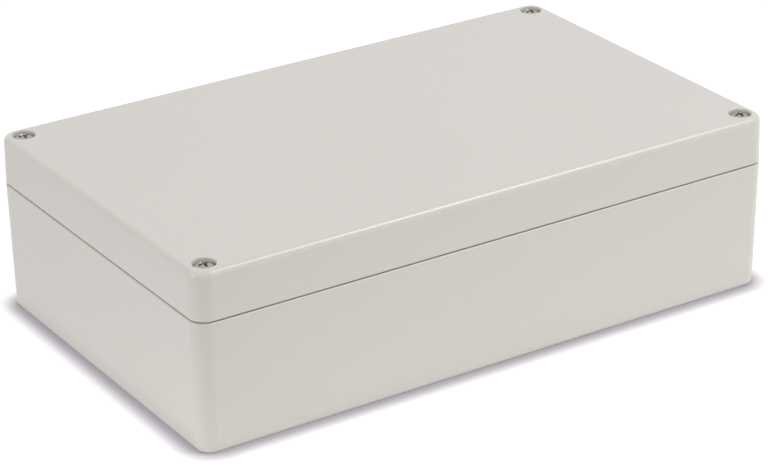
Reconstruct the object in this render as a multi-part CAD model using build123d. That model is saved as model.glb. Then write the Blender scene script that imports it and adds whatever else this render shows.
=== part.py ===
from build123d import *
import math
import os

# A sealed plastic enclosure for electronics: a deep base, a shallow lid that seats on the
# base's corner pillars, a rubber seal in a groove round the lid, and four captive cross-head
# screws that run through the lid into threaded inserts.
# The base stands on z = 0, centred on the origin, with its long side along X.
# The screws and the wall-fixing holes lie in corner bays, outside the line of the seal.

# Overall form, in millimetres. Lengths and depths are those at the parting plane.
length = 230.0
depth = 140.0
base_height = 47.0
lid_height = 18.0
draft_angle = 1.0
corner_radius = 6.0
lid_edge_radius = 2.4
base_edge_radius = 1.5
parting_gap = 0.5
parting_edge_chamfer = 0.3

# Walls
floor_thickness = 3.0
bay_floor_thickness = 4.0
bay_wall = 3.0
lid_top_thickness = 3.0
lid_skirt_thickness = 3.0
chamber_draft_angle = 0.5
chamber_edge_radius = 1.5

# Line of the seal: it follows the side walls and steps inwards round each corner bay
seal_line_inset = 2.7
bay_size_x = 17.0
bay_size_y = 30.0
bay_bend_radius = 6.0
side_bend_radius = 4.0
bay_partition = 1.4

# Tongue on the base, groove in the lid and the seal between them
tongue_thickness = 1.6
tongue_height = 11.2
groove_side_clearance = 0.3
groove_rib_thickness = 1.5
seal_side_clearance = 0.1
seal_thickness = 2.2

# Corner pillars, lid bosses and screw holes
screw_inset = 7.0
pillar_diameter = 11.0
lid_boss_diameter = 11.0
recess_diameter = 8.1
recess_depth = 3.0
recess_rim_chamfer = 0.15
lid_hole_diameter = 4.6
web_thickness = 2.7
keeper_pocket_diameter = 7.4

# Lid screws
thread_diameter = 4.0
shank_diameter = 3.6
neck_diameter = 3.0
head_diameter = 7.6
head_edge_height = 1.6
head_height = 2.8
screw_length = 25.0
tip_chamfer = 0.6
neck_length = 1.0
cross_span = 4.4
cross_width = 1.05
cross_depth = 2.0
cross_bottom_span = 1.5

# Keeper rings, which hold the undone screws in the lid
keeper_thickness = 0.8
keeper_diameter = 6.8
keeper_floor_clearance = 0.3
running_clearance = 0.05

# Threaded inserts and the core holes under them
insert_diameter = 5.6
insert_length = 8.0
insert_groove_width = 1.6
insert_groove_depth = 0.4
insert_top_clearance = 0.1
insert_side_clearance = 0.02
core_hole_diameter = 4.6
core_hole_floor = 14.0

# Wall-fixing holes, one in each corner bay
fixing_inset_x = 9.0
fixing_inset_y = 21.0
fixing_hole_diameter = 4.5

# Standoffs for a circuit board
standoff_columns = 4
standoff_rows = 2
standoff_pitch_x = 56.0
standoff_pitch_y = 96.0
standoff_height = 5.5
standoff_diameter = 7.0
standoff_hole_diameter = 2.5
standoff_hole_depth = 5.0

# Heights that follow from the sizes above
parting_z = base_height
overall_height = base_height + lid_height
skirt_z = parting_z + parting_gap
lid_ceiling_z = overall_height - lid_top_thickness
tongue_top_z = parting_z + tongue_height
groove_floor_z = tongue_top_z + seal_thickness
screw_seat_z = overall_height - recess_depth
keeper_ceiling_z = screw_seat_z - web_thickness
screw_tip_z = screw_seat_z - screw_length
keeper_bottom_z = parting_z + keeper_floor_clearance
neck_bottom_z = keeper_bottom_z - (neck_length - keeper_thickness) / 2
insert_top_z = parting_z - insert_top_clearance
insert_bottom_z = insert_top_z - insert_length

# Widths that follow from them
groove_half_width = tongue_thickness / 2 + groove_side_clearance
rib_outer_offset = groove_half_width + groove_rib_thickness
same_place = 1e-4

corner_signs = {
    "front_left": (-1, -1),
    "front_right": (1, -1),
    "rear_left": (-1, 1),
    "rear_right": (1, 1),
}


def corner_point(name, inset_x, inset_y):
    """The point at one corner, measured inwards from the outer faces."""
    sign_x, sign_y = corner_signs[name]
    return sign_x * (length / 2 - inset_x), sign_y * (depth / 2 - inset_y)


def screw_point(name):
    """The axis of the lid screw at one corner."""
    return corner_point(name, screw_inset, screw_inset)


def case_outline(inset, z):
    """The rounded rectangle of the case at height z, moved inwards by inset."""
    flat = RectangleRounded(length - 2 * inset, depth - 2 * inset, corner_radius - inset)
    return Pos(0, 0, z) * flat


def corners_at(flat, x, y):
    """The corners of a flat outline that lie at x and y, on any side of the centre."""
    return [
        v
        for v in flat.vertices()
        if abs(abs(v.X) - x) < same_place and abs(abs(v.Y) - y) < same_place
    ]


def seal_outline(grow, z):
    """The area inside the seal's centre line at height z, moved outwards by grow."""
    side_x = length / 2 - seal_line_inset + grow
    side_y = depth / 2 - seal_line_inset + grow
    step_x = length / 2 - bay_size_x + grow
    step_y = depth / 2 - bay_size_y + grow
    flat = Rectangle(2 * side_x, 2 * step_y) + Rectangle(2 * step_x, 2 * side_y)
    flat = fillet(corners_at(flat, step_x, step_y), bay_bend_radius - grow)
    outer = corners_at(flat, side_x, step_y) + corners_at(flat, step_x, side_y)
    return Pos(0, 0, z) * fillet(outer, side_bend_radius + grow)


def seal_band(half_width, z_low, z_high):
    """A wall of even thickness that follows the line of the seal."""
    band = seal_outline(half_width, z_low) - seal_outline(-half_width, z_low)
    return extrude(band, amount=z_high - z_low)


def rod(diameter, z_low, z_high, x=0.0, y=0.0):
    """An upright cylinder between two heights."""
    height = z_high - z_low
    return Pos(x, y, z_low + height / 2) * Cylinder(diameter / 2, height)


def edges_at(solid, z):
    """The edges of a solid that lie flat at height z."""
    flat_edges = []
    for edge in solid.edges():
        box = edge.bounding_box()
        if abs(box.min.Z - z) < same_place and abs(box.max.Z - z) < same_place:
            flat_edges.append(edge)
    return flat_edges


def chamber():
    """The space inside the base, with draft and rounded floor edges."""
    mouth = seal_outline(-tongue_thickness / 2, parting_z)
    space = extrude(mouth, amount=floor_thickness - parting_z, taper=chamber_draft_angle)
    return fillet(edges_at(space, floor_thickness), chamber_edge_radius)


def corner_bays():
    """The open space in the four corner bays, between the outer wall and the seal's wall."""
    ground = bay_floor_thickness
    area = case_outline(bay_wall, ground) - seal_outline(bay_partition, ground)
    return extrude(area, amount=parting_z - ground)


def standoffs():
    """Posts for a circuit board, on a grid across the chamber floor, and their pilot holes."""
    top_z = floor_thickness + standoff_height
    post = rod(standoff_diameter, floor_thickness, top_z)
    hole = rod(standoff_hole_diameter, top_z - standoff_hole_depth, top_z)
    grid = GridLocations(standoff_pitch_x, standoff_pitch_y, standoff_columns, standoff_rows)
    return [place * post for place in grid], [place * hole for place in grid]


def base_box():
    """The deep lower moulding, with its tongue, corner bays, pillars and standoffs."""
    base = extrude(case_outline(0, parting_z), amount=-base_height, taper=draft_angle)
    base = fillet(edges_at(base, 0), base_edge_radius)
    base = chamfer(edges_at(base, parting_z), parting_edge_chamfer)
    pillars = []
    holes = []
    for name in corner_signs:
        x, y = screw_point(name)
        pillars.append(rod(pillar_diameter, bay_floor_thickness, parting_z, x, y))
        seat_diameter = insert_diameter + 2 * insert_side_clearance
        holes.append(rod(seat_diameter, insert_bottom_z, parting_z, x, y))
        holes.append(rod(core_hole_diameter, core_hole_floor, insert_bottom_z, x, y))
        x, y = corner_point(name, fixing_inset_x, fixing_inset_y)
        holes.append(rod(fixing_hole_diameter, 0, bay_floor_thickness, x, y))
    posts, pilot_holes = standoffs()
    base = base - chamber() - (corner_bays() - pillars)
    base = base + seal_band(tongue_thickness / 2, parting_z, tongue_top_z) + posts
    return base - holes - pilot_holes


def screw_recess(x, y):
    """The round recess for a screw head, with a small chamfer at its rim."""
    rim_z = overall_height - recess_rim_chamfer
    rim_radius = recess_diameter / 2
    cone = Cone(rim_radius, rim_radius + recess_rim_chamfer, recess_rim_chamfer)
    rim = Pos(x, y, rim_z + recess_rim_chamfer / 2) * cone
    return [rod(recess_diameter, screw_seat_z, overall_height, x, y), rim]


def lid():
    """The shallow upper moulding, with its seal groove, screw recesses and bosses."""
    cover = extrude(case_outline(0, skirt_z), amount=overall_height - skirt_z, taper=draft_angle)
    cover = fillet(edges_at(cover, overall_height), lid_edge_radius)
    cover = chamfer(edges_at(cover, skirt_z), parting_edge_chamfer)
    hollow_height = lid_ceiling_z - skirt_z
    cover = cover - extrude(case_outline(lid_skirt_thickness, skirt_z), amount=hollow_height)
    limit_inset = lid_skirt_thickness - groove_side_clearance
    rib_limit = extrude(case_outline(limit_inset, skirt_z), amount=hollow_height)
    cover = cover + (seal_band(rib_outer_offset, skirt_z, lid_ceiling_z) & rib_limit)
    cutters = [seal_band(groove_half_width, skirt_z, groove_floor_z)]
    for name in corner_signs:
        x, y = screw_point(name)
        cover = cover + rod(lid_boss_diameter, parting_z, lid_ceiling_z, x, y)
        cutters.append(rod(keeper_pocket_diameter, parting_z, keeper_ceiling_z, x, y))
        cutters.append(rod(lid_hole_diameter, keeper_ceiling_z, screw_seat_z, x, y))
        cutters.extend(screw_recess(x, y))
    return cover - cutters


def lid_seal():
    """The rubber seal at the bottom of the lid's groove, on top of the base's tongue."""
    return seal_band(groove_half_width - seal_side_clearance, tongue_top_z, groove_floor_z)


def cross_recess():
    """The cross that takes a screwdriver: two wings, each narrower at its foot."""
    top_z = screw_seat_z + head_height
    foot_z = top_z - cross_depth
    wing_section = Polygon(
        (-cross_span / 2, top_z),
        (-cross_bottom_span / 2, foot_z),
        (cross_bottom_span / 2, foot_z),
        (cross_span / 2, top_z),
        align=None,
    )
    wing = extrude(Plane.XZ * wing_section, amount=cross_width / 2, both=True)
    return [wing, Rot(0, 0, 90) * wing]


def lid_screw():
    """A captive screw on the Z axis: domed head, shank, keeper neck and threaded end."""
    head_edge_z = screw_seat_z + head_edge_height
    head_top_z = screw_seat_z + head_height
    neck_top_z = neck_bottom_z + neck_length
    head_radius = head_diameter / 2
    rise = head_top_z - head_edge_z
    dome_radius = (head_radius**2 + rise**2) / (2 * rise)
    half_angle = math.asin(head_radius / dome_radius) / 2
    dome_centre_z = head_top_z - dome_radius
    dome_middle = (
        dome_radius * math.sin(half_angle),
        dome_centre_z + dome_radius * math.cos(half_angle),
    )
    profile = [
        (0, screw_tip_z),
        (thread_diameter / 2 - tip_chamfer, screw_tip_z),
        (thread_diameter / 2, screw_tip_z + tip_chamfer),
        (thread_diameter / 2, neck_bottom_z),
        (neck_diameter / 2, neck_bottom_z),
        (neck_diameter / 2, neck_top_z),
        (shank_diameter / 2, neck_top_z),
        (shank_diameter / 2, screw_seat_z),
        (head_radius, screw_seat_z),
        (head_radius, head_edge_z),
    ]
    side = Polyline(*profile)
    dome = ThreePointArc(profile[-1], dome_middle, (0, head_top_z))
    axis_line = Line((0, head_top_z), (0, screw_tip_z))
    section = Plane.XZ * make_face(side + dome + axis_line)
    return revolve(section, Axis.Z) - cross_recess()


def screw_insert():
    """A brass insert on the Z axis, grooved at the middle to hold in the pillar."""
    middle_z = (insert_top_z + insert_bottom_z) / 2
    groove_diameter = insert_diameter - 2 * insert_groove_depth
    low_z = middle_z - insert_groove_width / 2
    high_z = middle_z + insert_groove_width / 2
    body = rod(insert_diameter, insert_bottom_z, low_z) + rod(groove_diameter, low_z, high_z)
    body = body + rod(insert_diameter, high_z, insert_top_z)
    return body - rod(thread_diameter + 2 * running_clearance, insert_bottom_z, insert_top_z)


def keeper_ring():
    """The ring in the screw's neck that meets the pocket's ceiling when the screw is undone."""
    top_z = keeper_bottom_z + keeper_thickness
    bore = neck_diameter + 2 * running_clearance
    return rod(keeper_diameter, keeper_bottom_z, top_z) - rod(bore, keeper_bottom_z, top_z)


def build():
    """Every piece by its name, where it sits in the closed enclosure."""
    pieces = {"base_box": base_box(), "lid": lid(), "lid_seal": lid_seal()}
    screw, insert, ring = lid_screw(), screw_insert(), keeper_ring()
    for name in corner_signs:
        x, y = screw_point(name)
        pieces[f"lid_screw_{name}"] = Pos(x, y, 0) * screw
        pieces[f"screw_insert_{name}"] = Pos(x, y, 0) * insert
        pieces[f"keeper_ring_{name}"] = Pos(x, y, 0) * ring
    return pieces


os.makedirs("parts", exist_ok=True)
for piece_name, piece in build().items():
    export_step(piece, f"parts/{piece_name}.step")
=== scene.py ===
import math

import bmesh
import bpy
from mathutils import Matrix, Vector


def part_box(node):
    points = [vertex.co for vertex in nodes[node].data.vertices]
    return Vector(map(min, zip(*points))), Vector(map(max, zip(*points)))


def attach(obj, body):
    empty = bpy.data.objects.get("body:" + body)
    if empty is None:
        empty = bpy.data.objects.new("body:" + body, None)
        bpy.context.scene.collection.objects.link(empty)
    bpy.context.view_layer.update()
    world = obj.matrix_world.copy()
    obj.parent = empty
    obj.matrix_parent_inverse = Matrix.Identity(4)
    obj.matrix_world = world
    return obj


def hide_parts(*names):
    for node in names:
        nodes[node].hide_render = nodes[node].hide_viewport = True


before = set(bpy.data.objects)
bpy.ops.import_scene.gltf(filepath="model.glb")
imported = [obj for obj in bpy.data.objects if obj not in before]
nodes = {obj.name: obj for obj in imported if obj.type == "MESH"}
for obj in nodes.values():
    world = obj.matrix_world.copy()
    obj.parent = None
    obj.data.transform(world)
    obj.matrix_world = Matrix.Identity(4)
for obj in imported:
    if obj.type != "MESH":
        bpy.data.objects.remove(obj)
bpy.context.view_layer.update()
corners = ["front_left", "front_right", "rear_left", "rear_right"]

# sizes are in metres
mm = 0.001
sameCorner = 0.001 * mm  # corners of a mesh nearer than this are one
sameTurn = 0.002 * mm  # and so are those of neighbouring turns of a thread
sharpAngle = 30  # degrees, past which an edge is shown sharp


# node helpers

def addNode(tree, kind, place, values=None, **settings):
    # values are for the node's inputs, by name or number
    node = tree.nodes.new(kind)
    node.location = place
    for name, setting in settings.items():
        setattr(node, name, setting)
    for name, value in (values or {}).items():
        node.inputs[name].default_value = value
    return node


def startMaterial(name):
    material = bpy.data.materials.new(name)
    material.use_nodes = True
    tree = material.node_tree
    tree.nodes.clear()
    output = addNode(tree, "ShaderNodeOutputMaterial", (600, 0))
    shader = addNode(tree, "ShaderNodeBsdfPrincipled", (300, 0))
    tree.links.new(shader.outputs["BSDF"], output.inputs["Surface"])
    return material, tree, shader


# finishes

surfaceTexture = {
    "grainDetail": 3.0,
    "grainRoughness": 0.6,
    "driftDetail": 2.0,
    "roughnessShare": 1.6,  # how strongly the drift reaches the roughness
    "edgeSamples": 6,
}

# the group's number inputs, and the key in a finish's dictionary for each
surfaceInputs = {
    "Roughness": "roughness",
    "Grain Scale": "grainScale",
    "Grain Depth": "grainDepth",
    "Drift Scale": "driftScale",
    "Drift Amount": "driftAmount",
    "Edge Radius": "edgeRadius",
}


def makeSurfaceGroup():
    # fine grain, a slow drift of colour and roughness, and softened edges, for every finish
    group = bpy.data.node_groups.new("surfaceTexture", "ShaderNodeTree")
    addSocket = group.interface.new_socket
    addSocket("Colour", in_out="INPUT", socket_type="NodeSocketColor")
    for name in surfaceInputs:
        addSocket(name, in_out="INPUT", socket_type="NodeSocketFloat")
    addSocket("Colour", in_out="OUTPUT", socket_type="NodeSocketColor")
    addSocket("Roughness", in_out="OUTPUT", socket_type="NodeSocketFloat")
    addSocket("Normal", in_out="OUTPUT", socket_type="NodeSocketVector")
    given = addNode(group, "NodeGroupInput", (-900, 0))
    result = addNode(group, "NodeGroupOutput", (700, 0))
    coords = addNode(group, "ShaderNodeTexCoord", (-900, -400))
    grain = addNode(group, "ShaderNodeTexNoise", (-600, -300), {
        "Detail": surfaceTexture["grainDetail"], "Roughness": surfaceTexture["grainRoughness"],
    })
    edge = addNode(group, "ShaderNodeBevel", (0, -500), samples=surfaceTexture["edgeSamples"])
    bump = addNode(group, "ShaderNodeBump", (300, -300))
    drift = addNode(group, "ShaderNodeTexNoise", (-600, 100), {"Detail": surfaceTexture["driftDetail"]})
    centred = addNode(group, "ShaderNodeMath", (-380, 100), {1: 0.5}, operation="SUBTRACT")
    amount = addNode(group, "ShaderNodeMath", (-200, 100), operation="MULTIPLY")
    shade = addNode(group, "ShaderNodeMath", (0, 100), {1: 1.0}, operation="ADD")
    tint = addNode(group, "ShaderNodeVectorMath", (200, 200), operation="SCALE")
    roughDrift = addNode(
        group, "ShaderNodeMath", (200, 0), {1: surfaceTexture["roughnessShare"]}, operation="MULTIPLY_ADD",
    )
    link = group.links.new
    link(coords.outputs["Object"], grain.inputs["Vector"])
    link(coords.outputs["Object"], drift.inputs["Vector"])
    link(given.outputs["Grain Scale"], grain.inputs["Scale"])
    link(given.outputs["Drift Scale"], drift.inputs["Scale"])
    link(drift.outputs["Fac"], centred.inputs[0])
    link(centred.outputs[0], amount.inputs[0])
    link(given.outputs["Drift Amount"], amount.inputs[1])
    link(amount.outputs[0], shade.inputs[0])
    link(given.outputs["Colour"], tint.inputs[0])
    link(shade.outputs[0], tint.inputs["Scale"])
    link(amount.outputs[0], roughDrift.inputs[0])
    link(given.outputs["Roughness"], roughDrift.inputs[2])
    link(given.outputs["Edge Radius"], edge.inputs["Radius"])
    link(edge.outputs["Normal"], bump.inputs["Normal"])
    link(grain.outputs["Fac"], bump.inputs["Height"])
    link(given.outputs["Grain Depth"], bump.inputs["Distance"])
    link(tint.outputs[0], result.inputs["Colour"])
    link(roughDrift.outputs[0], result.inputs["Roughness"])
    link(bump.outputs["Normal"], result.inputs["Normal"])
    return group


surfaceGroup = makeSurfaceGroup()


def finishWith(tree, shader, look):
    surface = addNode(tree, "ShaderNodeGroup", (0, 0), node_tree=surfaceGroup)
    surface.inputs["Colour"].default_value = (*look["colour"], 1)
    for name, key in surfaceInputs.items():
        surface.inputs[name].default_value = look[key]
    tree.links.new(surface.outputs["Colour"], shader.inputs["Base Color"])
    tree.links.new(surface.outputs["Roughness"], shader.inputs["Roughness"])
    tree.links.new(surface.outputs["Normal"], shader.inputs["Normal"])
    return surface


casePlastic = {
    "colour": (0.655, 0.625, 0.585),
    "roughness": 0.3,
    "grainScale": 1900.0,
    "grainDepth": 0.01 * mm,
    "driftScale": 14.0,
    "driftAmount": 0.018,
    "edgeRadius": 0.35 * mm,
    "gapReach": 1.2 * mm,
    "gapSamples": 4,
    "gapClosed": 0.6,  # how open a place is where it is fully dull, and where it keeps its shine
    "gapOpen": 0.97,
    "gapRoughness": 0.9,
}


def makeCasePlastic():
    material, tree, shader = startMaterial("casePlastic")
    surface = finishWith(tree, shader, casePlastic)
    # narrow gaps lose their shine
    openness = addNode(
        tree, "ShaderNodeAmbientOcclusion", (-200, -300),
        {"Distance": casePlastic["gapReach"]}, samples=casePlastic["gapSamples"],
    )
    dullness = addNode(tree, "ShaderNodeMapRange", (0, -300), {
        "From Min": casePlastic["gapClosed"], "From Max": casePlastic["gapOpen"],
        "To Min": casePlastic["gapRoughness"], "To Max": 0.0,
    })
    rough = addNode(tree, "ShaderNodeMath", (200, -300), operation="MAXIMUM")
    tree.links.new(openness.outputs["AO"], dullness.inputs["Value"])
    tree.links.new(dullness.outputs[0], rough.inputs[0])
    tree.links.new(surface.outputs["Roughness"], rough.inputs[1])
    tree.links.new(rough.outputs[0], shader.inputs["Roughness"])
    return material


sealRubber = {
    "colour": (0.022, 0.022, 0.024),
    "roughness": 0.62,
    "grainScale": 5000.0,
    "grainDepth": 0.01 * mm,
    "driftScale": 60.0,
    "driftAmount": 0.2,
    "edgeRadius": 0.35 * mm,
}


def makeSealRubber():
    material, tree, shader = startMaterial("sealRubber")
    finishWith(tree, shader, sealRubber)
    return material


screwSteel = {
    "colour": (0.4, 0.39, 0.37),
    "roughness": 0.27,
    "grainScale": 2600.0,
    "grainDepth": 0.003 * mm,
    "driftScale": 700.0,
    "driftAmount": 0.18,
    "edgeRadius": 0.1 * mm,
}

insertBrass = {
    "colour": (0.71, 0.5, 0.2),
    "roughness": 0.3,
    "grainScale": 2200.0,
    "grainDepth": 0.003 * mm,
    "driftScale": 700.0,
    "driftAmount": 0.18,
    "edgeRadius": 0.05 * mm,
}


def makeMetal(name, look):
    material, tree, shader = startMaterial(name)
    finishWith(tree, shader, look)
    shader.inputs["Metallic"].default_value = 1.0
    return material


ringNylon = {
    "colour": (0.78, 0.76, 0.7),
    "roughness": 0.42,
    "grainScale": 3500.0,
    "grainDepth": 0.008 * mm,
    "driftScale": 90.0,
    "driftAmount": 0.03,
    "edgeRadius": 0.15 * mm,
}


def makeRingNylon():
    material, tree, shader = startMaterial("ringNylon")
    finishWith(tree, shader, ringNylon)
    return material


materials = {
    "case": makeCasePlastic(),
    "seal": makeSealRubber(),
    "steel": makeMetal("screwSteel", screwSteel),
    "brass": makeMetal("insertBrass", insertBrass),
    "nylon": makeRingNylon(),
}
print("materials made:", len(materials))


# piece helpers

def addObject(name, data):
    thing = bpy.data.objects.new(name, data)
    bpy.context.scene.collection.objects.link(thing)
    return thing


def setMaterial(piece, material):
    piece.data.materials.clear()
    piece.data.materials.append(material)


def meshPiece(name, bm, material, body):
    bmesh.ops.recalc_face_normals(bm, faces=bm.faces)
    mesh = bpy.data.meshes.new(name)
    bm.to_mesh(mesh)
    bm.free()
    storedNormals = mesh.attributes.get("custom_normal")
    if storedNormals:
        mesh.attributes.remove(storedNormals)  # they no longer fit a copy that was merged and cut
    piece = addObject(name, mesh)
    setMaterial(piece, material)
    mesh.shade_smooth()
    mesh.set_sharp_from_angle(angle=math.radians(sharpAngle))
    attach(piece, body)
    return piece


def mergedCopy(node):
    # a CAD node's triangles, joined at their shared corners
    bm = bmesh.new()
    bm.from_mesh(nodes[node].data)
    bmesh.ops.remove_doubles(bm, verts=bm.verts, dist=sameCorner)
    return bm


def addShape(bm, shape):
    # one bmesh joins another by way of a mesh
    carrier = bpy.data.meshes.new("carrier")
    shape.to_mesh(carrier)
    shape.free()
    bm.from_mesh(carrier)
    bpy.data.meshes.remove(carrier)


def cutFlat(bm, height, keepAbove):
    everything = bm.verts[:] + bm.edges[:] + bm.faces[:]
    bmesh.ops.bisect_plane(
        bm, geom=everything, plane_co=(0, 0, height), plane_no=(0, 0, 1),
        clear_inner=keepAbove, clear_outer=not keepAbove,
    )


def closeHoles(bm):
    openEdges = [e for e in bm.edges if e.is_boundary]
    bmesh.ops.holes_fill(bm, edges=openEdges, sides=0)


# screws and their inserts

screwThread = {
    "pitch": 0.7 * mm,
    "stepsPerTurn": 28,
    "majorRadius": 1.99 * mm,
    "depth": 0.4 * mm,
    "outline": [(0, 0), (0.12, 0), (0.44, 1), (0.56, 1), (0.88, 0), (1, 0)],  # shares of pitch and depth
    "tipLength": 0.7 * mm,
    "belowRing": 0.1 * mm,  # how far under the keeper ring the thread ends
    "neckGap": 0.02 * mm,  # between the thread's end and the neck, too narrow to see
}


def windThread(innerRadius, depth, outline, low, high):
    # one pitch of the thread's outline, wound up the Z axis and trimmed level
    bm = bmesh.new()
    pitch, stepsPerTurn = screwThread["pitch"], screwThread["stepsPerTurn"]
    turns = math.ceil((high - low) / pitch) + 2  # one to spare at each end
    start = low - pitch
    verts = [bm.verts.new((innerRadius + depth * out, 0, start + pitch * up)) for up, out in outline]
    edges = [bm.edges.new(pair) for pair in zip(verts, verts[1:])]
    bmesh.ops.spin(
        bm, geom=verts + edges, cent=(0, 0, 0), axis=(0, 0, 1), dvec=(0, 0, pitch / stepsPerTurn),
        angle=2 * math.pi * turns, steps=turns * stepsPerTurn,
    )
    bmesh.ops.remove_doubles(bm, verts=bm.verts, dist=sameTurn)
    cutFlat(bm, low, True)
    cutFlat(bm, high, False)
    return bm


def taperTip(thread, lowest):
    # the thread's foot ends in a short cone
    for v in thread.verts:
        room = screwThread["majorRadius"] - screwThread["tipLength"] + (v.co.z - lowest)
        radius = math.hypot(v.co.x, v.co.y)
        if radius > room:
            v.co.x *= room / radius
            v.co.y *= room / radius


def makeScrew(corner):
    node = "lid_screw_" + corner
    lowest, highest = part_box(node)
    centre = (lowest + highest) / 2
    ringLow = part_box("keeper_ring_" + corner)[0]
    threadTop = ringLow.z - screwThread["belowRing"]
    screw = mergedCopy(node)
    cutFlat(screw, threadTop + screwThread["neckGap"], True)
    closeHoles(screw)
    depth = screwThread["depth"]
    innerRadius = screwThread["majorRadius"] - depth
    thread = windThread(innerRadius, depth, screwThread["outline"], lowest.z, threadTop)
    taperTip(thread, lowest.z)
    closeHoles(thread)
    bmesh.ops.translate(thread, verts=thread.verts, vec=(centre.x, centre.y, 0))
    addShape(screw, thread)
    piece = meshPiece("lidScrew_" + corner, screw, materials["steel"], "screw_" + corner)
    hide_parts(node)


insertShape = {
    "teeth": 40,
    "toothDepth": 0.16 * mm,
    "chamfer": 0.3 * mm,
    "waistHalfWidth": 0.8 * mm,  # of the smooth groove round the middle
    "waistHalfFloor": 0.7 * mm,
    "waistDepth": 0.4 * mm,
    "boreRadius": 2.05 * mm,
    "threadDepth": 0.3 * mm,
    "threadOutline": [(0, 0), (0.15, 0), (0.5, 1), (0.85, 0), (1, 0)],  # shares of pitch and depth
}


def stackRings(levels, segments):
    # circles of the given heights and radii, joined into an open wall
    bm = bmesh.new()
    height, radius = levels[0]
    ring = bmesh.ops.create_circle(bm, cap_ends=False, segments=segments, radius=radius)["verts"]
    bmesh.ops.translate(bm, verts=ring, vec=(0, 0, height))
    edges = list({e for v in ring for e in v.link_edges})
    rings = [ring]
    for height, radius in levels[1:]:
        made = bmesh.ops.extrude_edge_only(bm, edges=edges)["geom"]
        ring = [g for g in made if isinstance(g, bmesh.types.BMVert)]
        edges = [g for g in made if isinstance(g, bmesh.types.BMEdge)]
        for v in ring:
            flat = Vector((v.co.x, v.co.y, 0)).normalized() * radius
            v.co = (flat.x, flat.y, height)
        rings.append(ring)
    return bm, rings


def cutKnurl(ring, radius, segments):
    # every second line of the knurl lies lower
    for v in ring:
        line = round(math.atan2(v.co.y, v.co.x) / (2 * math.pi) * segments)
        if line % 2:
            v.co.x *= 1 - insertShape["toothDepth"] / radius
            v.co.y *= 1 - insertShape["toothDepth"] / radius


def liesAt(edge, height):
    return all(abs(v.co.z - height) < sameCorner for v in edge.verts)


def makeInsert(corner):
    node = "screw_insert_" + corner
    lowest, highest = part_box(node)
    centre = (lowest + highest) / 2
    outer = (highest.x - lowest.x) / 2
    middle = (lowest.z + highest.z) / 2
    chamfer = insertShape["chamfer"]
    waist = outer - insertShape["waistDepth"]
    levels = [
        (lowest.z, outer - chamfer),
        (lowest.z + chamfer, outer),
        (middle - insertShape["waistHalfWidth"], outer),
        (middle - insertShape["waistHalfFloor"], waist),
        (middle + insertShape["waistHalfFloor"], waist),
        (middle + insertShape["waistHalfWidth"], outer),
        (highest.z - chamfer, outer),
        (highest.z, outer - chamfer),
    ]
    segments = insertShape["teeth"] * 2
    bm, rings = stackRings(levels, segments)
    for (height, radius), ring in zip(levels, rings):
        if radius == outer:
            cutKnurl(ring, radius, segments)
    thread = windThread(
        insertShape["boreRadius"], insertShape["threadDepth"], insertShape["threadOutline"],
        lowest.z, highest.z,
    )
    addShape(bm, thread)
    for height in (lowest.z, highest.z):
        rims = [e for e in bm.edges if e.is_boundary and liesAt(e, height)]
        bmesh.ops.bridge_loops(bm, edges=rims)
    bmesh.ops.translate(bm, verts=bm.verts, vec=(centre.x, centre.y, 0))
    piece = meshPiece("screwInsert_" + corner, bm, materials["brass"], "base")
    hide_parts(node)


for corner in corners:
    makeScrew(corner)
    makeInsert(corner)
    setMaterial(nodes["keeper_ring_" + corner], materials["nylon"])
print("screws and inserts made")

setMaterial(nodes["base_box"], materials["case"])
setMaterial(nodes["lid"], materials["case"])
setMaterial(nodes["lid_seal"], materials["seal"])
print("case and seal finished")


# floor, light and camera

def seenByRay(tree):
    # 1 for what the camera sees, straight on, in a shiny surface or through a clear one
    path = addNode(tree, "ShaderNodeLightPath", (-1100, 0))
    shinyToo = addNode(tree, "ShaderNodeMath", (-900, 0), operation="MAXIMUM")
    clearToo = addNode(tree, "ShaderNodeMath", (-700, 0), operation="MAXIMUM")
    tree.links.new(path.outputs["Is Camera Ray"], shinyToo.inputs[0])
    tree.links.new(path.outputs["Is Glossy Ray"], shinyToo.inputs[1])
    tree.links.new(shinyToo.outputs[0], clearToo.inputs[0])
    tree.links.new(path.outputs["Is Transmission Ray"], clearToo.inputs[1])
    return clearToo.outputs[0]


floorSettings = {
    "size": 12.0,
    "drop": 0.02 * mm,  # below the object's underside, so that the two don't flicker
    "roughness": 0.9,
    "shine": 0.1,
    "nearAlbedo": 0.95,  # the paper under the object, with a darker room beyond it
    "farAlbedo": 0.15,
    "nearCentre": (0.05, -0.12, 0.0),
    "nearReach": 0.16,
    "farReach": 0.42,
    "seenAlbedo": 0.25,  # the camera sees less of the real shading and more of the emitted white below, with its painted contact shadow
    "contactReach": 7.3 * mm,
    "contactSamples": 16,
    # how open the floor is to the sky, and the colour it emits there: a purple-grey painted shadow near
    # the object, fading to white
    "whitesAndPaintedShadow": [
        (0.50, (0.215, 0.190, 0.225)),
        (0.64, (0.290, 0.262, 0.300)),
        (0.77, (0.470, 0.440, 0.480)),
        (0.89, (0.660, 0.640, 0.665)),
        (0.99, (0.860, 0.860, 0.860)),
    ],
}


def makePaperAlbedo(tree):
    # what the floor throws back onto the object: pale paper, fading into a darker room
    geometry = addNode(tree, "ShaderNodeNewGeometry", (-900, 400))
    apart = addNode(
        tree, "ShaderNodeVectorMath", (-700, 400), {1: floorSettings["nearCentre"]}, operation="DISTANCE",
    )
    paper = addNode(tree, "ShaderNodeMapRange", (-500, 400), {
        "From Min": floorSettings["nearReach"], "From Max": floorSettings["farReach"],
        "To Min": floorSettings["nearAlbedo"], "To Max": floorSettings["farAlbedo"],
    }, interpolation_type="SMOOTHSTEP")
    tree.links.new(geometry.outputs["Position"], apart.inputs[0])
    tree.links.new(apart.outputs["Value"], paper.inputs["Value"])
    return paper.outputs[0]


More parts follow.
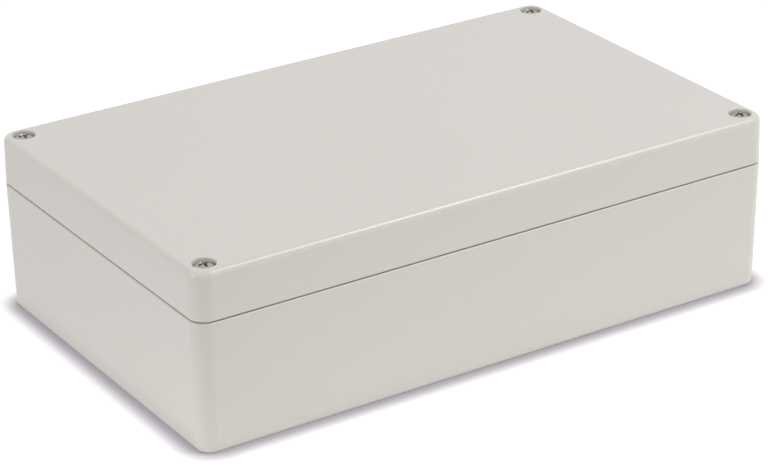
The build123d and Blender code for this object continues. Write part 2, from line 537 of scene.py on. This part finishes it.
def makeWhiteWithPaintedShadow(tree):
    # emitted white, with a painted soft shadow where something stands on the floor, darkened by ambient
    # occlusion
    openness = addNode(
        tree, "ShaderNodeAmbientOcclusion", (-500, -250),
        {"Distance": floorSettings["contactReach"]}, samples=floorSettings["contactSamples"],
    )
    whiteAndPaintedShadow = addNode(tree, "ShaderNodeValToRGB", (-300, -250))
    stops = whiteAndPaintedShadow.color_ramp.elements
    while len(stops) < len(floorSettings["whitesAndPaintedShadow"]):
        stops.new(0.5)
    for stop, (place, colour) in zip(stops, floorSettings["whitesAndPaintedShadow"]):
        stop.position = place
        stop.color = (*colour, 1)
    tree.links.new(openness.outputs["AO"], whiteAndPaintedShadow.inputs["Fac"])
    return whiteAndPaintedShadow.outputs["Color"]


def makeFloor():
    bm = bmesh.new()
    bmesh.ops.create_grid(bm, x_segments=1, y_segments=1, size=floorSettings["size"] / 2)
    bmesh.ops.translate(bm, verts=bm.verts, vec=(0, 0, -floorSettings["drop"]))
    mesh = bpy.data.meshes.new("studioFloor")
    bm.to_mesh(mesh)
    bm.free()
    floor = addObject("studioFloor", mesh)
    material, tree, shader = startMaterial("floorWhiteAndPaintedShadow")
    shader.inputs["Roughness"].default_value = floorSettings["roughness"]
    shader.inputs["Specular IOR Level"].default_value = floorSettings["shine"]
    seen = seenByRay(tree)
    albedo = addNode(tree, "ShaderNodeMapRange", (-300, 100), {"To Max": floorSettings["seenAlbedo"]})
    tree.links.new(makePaperAlbedo(tree), albedo.inputs["To Min"])
    tree.links.new(seen, albedo.inputs["Value"])
    tree.links.new(albedo.outputs[0], shader.inputs["Base Color"])
    # the emission, seen by camera, glossy and transmission rays, carries the painted contact shadow
    tree.links.new(makeWhiteWithPaintedShadow(tree), shader.inputs["Emission Color"])
    tree.links.new(seen, shader.inputs["Emission Strength"])
    mesh.materials.append(material)


worldSettings = {
    "colour": (1, 1, 1),
    "lightLevel": 0.66,  # what lights the object
    "seenLevel": 1.0,  # what shows behind it, plain white
}


def makeWorld():
    world = bpy.data.worlds.new("studioWorld")
    bpy.context.scene.world = world
    world.use_nodes = True
    tree = world.node_tree
    tree.nodes.clear()
    output = addNode(tree, "ShaderNodeOutputWorld", (500, 0))
    background = addNode(tree, "ShaderNodeBackground", (300, 0), {"Color": (*worldSettings["colour"], 1)})
    strength = addNode(tree, "ShaderNodeMapRange", (100, 0), {
        "To Min": worldSettings["lightLevel"], "To Max": worldSettings["seenLevel"],
    })
    tree.links.new(seenByRay(tree), strength.inputs["Value"])
    tree.links.new(strength.outputs[0], background.inputs["Strength"])
    tree.links.new(background.outputs[0], output.inputs["Surface"])


lampTarget = (0, 0, 0.03)  # about the middle of the object

# places and sizes in metres, power in watts
lampSettings = {
    "leftLowLamp": {"at": (-1.6, 0.2, 0.35), "size": 0.6, "power": 7.0},
    "frontLowLamp": {"at": (0.4, -1.5, 0.25), "size": 0.6, "power": 1.2},
    "edgeLamp": {"at": (0.77, -0.7, 1.22), "size": 0.35, "power": 8.4},
}


def makeLamp(name, look):
    lamp = bpy.data.lights.new(name, "AREA")
    lamp.shape = "SQUARE"
    lamp.size = look["size"]
    lamp.energy = look["power"]
    holder = addObject(name, lamp)
    holder.location = look["at"]
    holder.rotation_mode = "QUATERNION"
    holder.rotation_quaternion = (Vector(lampTarget) - Vector(look["at"])).to_track_quat("-Z", "Y")


viewSettings = {
    "azimuth": -32.584,  # degrees, seen from the front left
    "elevation": 24.809,
    "roll": -0.832,
    "distance": 1.0207,  # metres
    "target": (-0.00699, -0.01027, 0.028),
    "lens": 136.57,  # millimetres, as is the frame's width
    "frameWidth": 36.0,
    "farthest": 50.0,
}


def makeCamera():
    data = bpy.data.cameras.new("photoCamera")
    data.lens = viewSettings["lens"]
    data.sensor_width = viewSettings["frameWidth"]
    data.clip_end = viewSettings["farthest"]
    camera = addObject("photoCamera", data)
    turn, rise, roll = (math.radians(viewSettings[k]) for k in ("azimuth", "elevation", "roll"))
    back = Vector((math.sin(turn) * math.cos(rise), -math.cos(turn) * math.cos(rise), math.sin(rise)))
    right = Vector((0, 0, 1)).cross(back).normalized()
    up = back.cross(right)
    rolledRight = right * math.cos(roll) + up * math.sin(roll)
    rolledUp = up * math.cos(roll) - right * math.sin(roll)
    axes = Matrix((rolledRight, rolledUp, back)).transposed().to_4x4()
    place = Vector(viewSettings["target"]) + back * viewSettings["distance"]
    camera.matrix_world = Matrix.Translation(place) @ axes
    bpy.context.scene.camera = camera


makeFloor()
makeWorld()
for name, look in lampSettings.items():
    makeLamp(name, look)
makeCamera()
bpy.context.scene.view_settings.view_transform = "Standard"
print("studio made")
